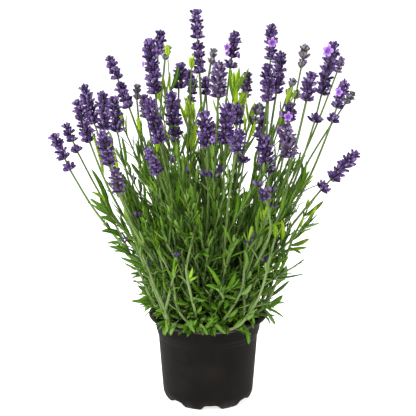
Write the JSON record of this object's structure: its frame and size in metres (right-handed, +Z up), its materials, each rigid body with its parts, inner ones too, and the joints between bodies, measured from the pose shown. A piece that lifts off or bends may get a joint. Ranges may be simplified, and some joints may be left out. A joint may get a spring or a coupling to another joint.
{
  "type": "potted lavender",
  "caption": "Lavender plant in a thin round nursery pot: interrupted violet flower spikes on long square stems over narrow green leaves.",
  "frame": {"origin": "the middle of the pot's underside, on the surface that it stands on", "axes": "+Z up along the pot's axis, +X to the right as the picture shows the plant, -Y towards the viewer"},
  "size_m": [0.324, 0.2503, 0.423],
  "materials": {
    "pot_plastic": "satin black thermoformed polypropylene",
    "potting_soil": "rough dark peat, bark and wood fibre",
    "green_growth": "matte narrow leaves and finely haired square stems",
    "violet_calyx": "finely woolly violet calyces",
    "mauve_calyx": "finely woolly greyish mauve calyces",
    "grey_green_bud": "finely woolly grey-green young buds"
  },
  "bodies": {
    "root": {"pot": "pot_plastic", "soil": "potting_soil", "clump_01": "green_growth", "clump_02": "green_growth", "clump_03": "green_growth", "clump_04": "green_growth", "clump_05": "green_growth", "clump_06": "green_growth", "clump_07": "green_growth", "clump_08": "green_growth", "spike_01": "violet_calyx", "spike_02": "violet_calyx", "spike_03": "violet_calyx", "spike_04": "violet_calyx", "spike_05": "violet_calyx", "spike_06": "violet_calyx", "spike_07": "violet_calyx", "spike_08": "violet_calyx", "spike_09": "mauve_calyx", "spike_10": "grey_green_bud", "spike_11": "violet_calyx", "spike_12": "violet_calyx", "spike_13": "grey_green_bud", "spike_14": "violet_calyx", "spike_15": "violet_calyx", "spike_16": "mauve_calyx", "spike_17": "mauve_calyx", "spike_18": "violet_calyx", "spike_19": "violet_calyx", "spike_20": "violet_calyx", "spike_21": "violet_calyx", "spike_22": "grey_green_bud", "spike_23": "mauve_calyx", "spike_24": "violet_calyx", "spike_25": "violet_calyx", "spike_26": "mauve_calyx", "spike_27": "violet_calyx", "spike_28": "violet_calyx", "spike_29": "violet_calyx", "spike_30": "violet_calyx", "spike_31": "violet_calyx", "spike_32": "grey_green_bud", "spike_33": "violet_calyx", "spike_34": "violet_calyx", "spike_35": "violet_calyx", "spike_36": "grey_green_bud", "spike_37": "grey_green_bud", "spike_38": "violet_calyx", "spike_39": "violet_calyx", "spike_40": "mauve_calyx", "spike_41": "violet_calyx", "spike_42": "grey_green_bud", "spike_43": "violet_calyx", "spike_44": "violet_calyx", "spike_45": "violet_calyx", "spike_46": "mauve_calyx", "spike_47": "violet_calyx", "spike_48": "violet_calyx", "spike_49": "mauve_calyx", "spike_50": "violet_calyx"}
  },
  "joints": []
}
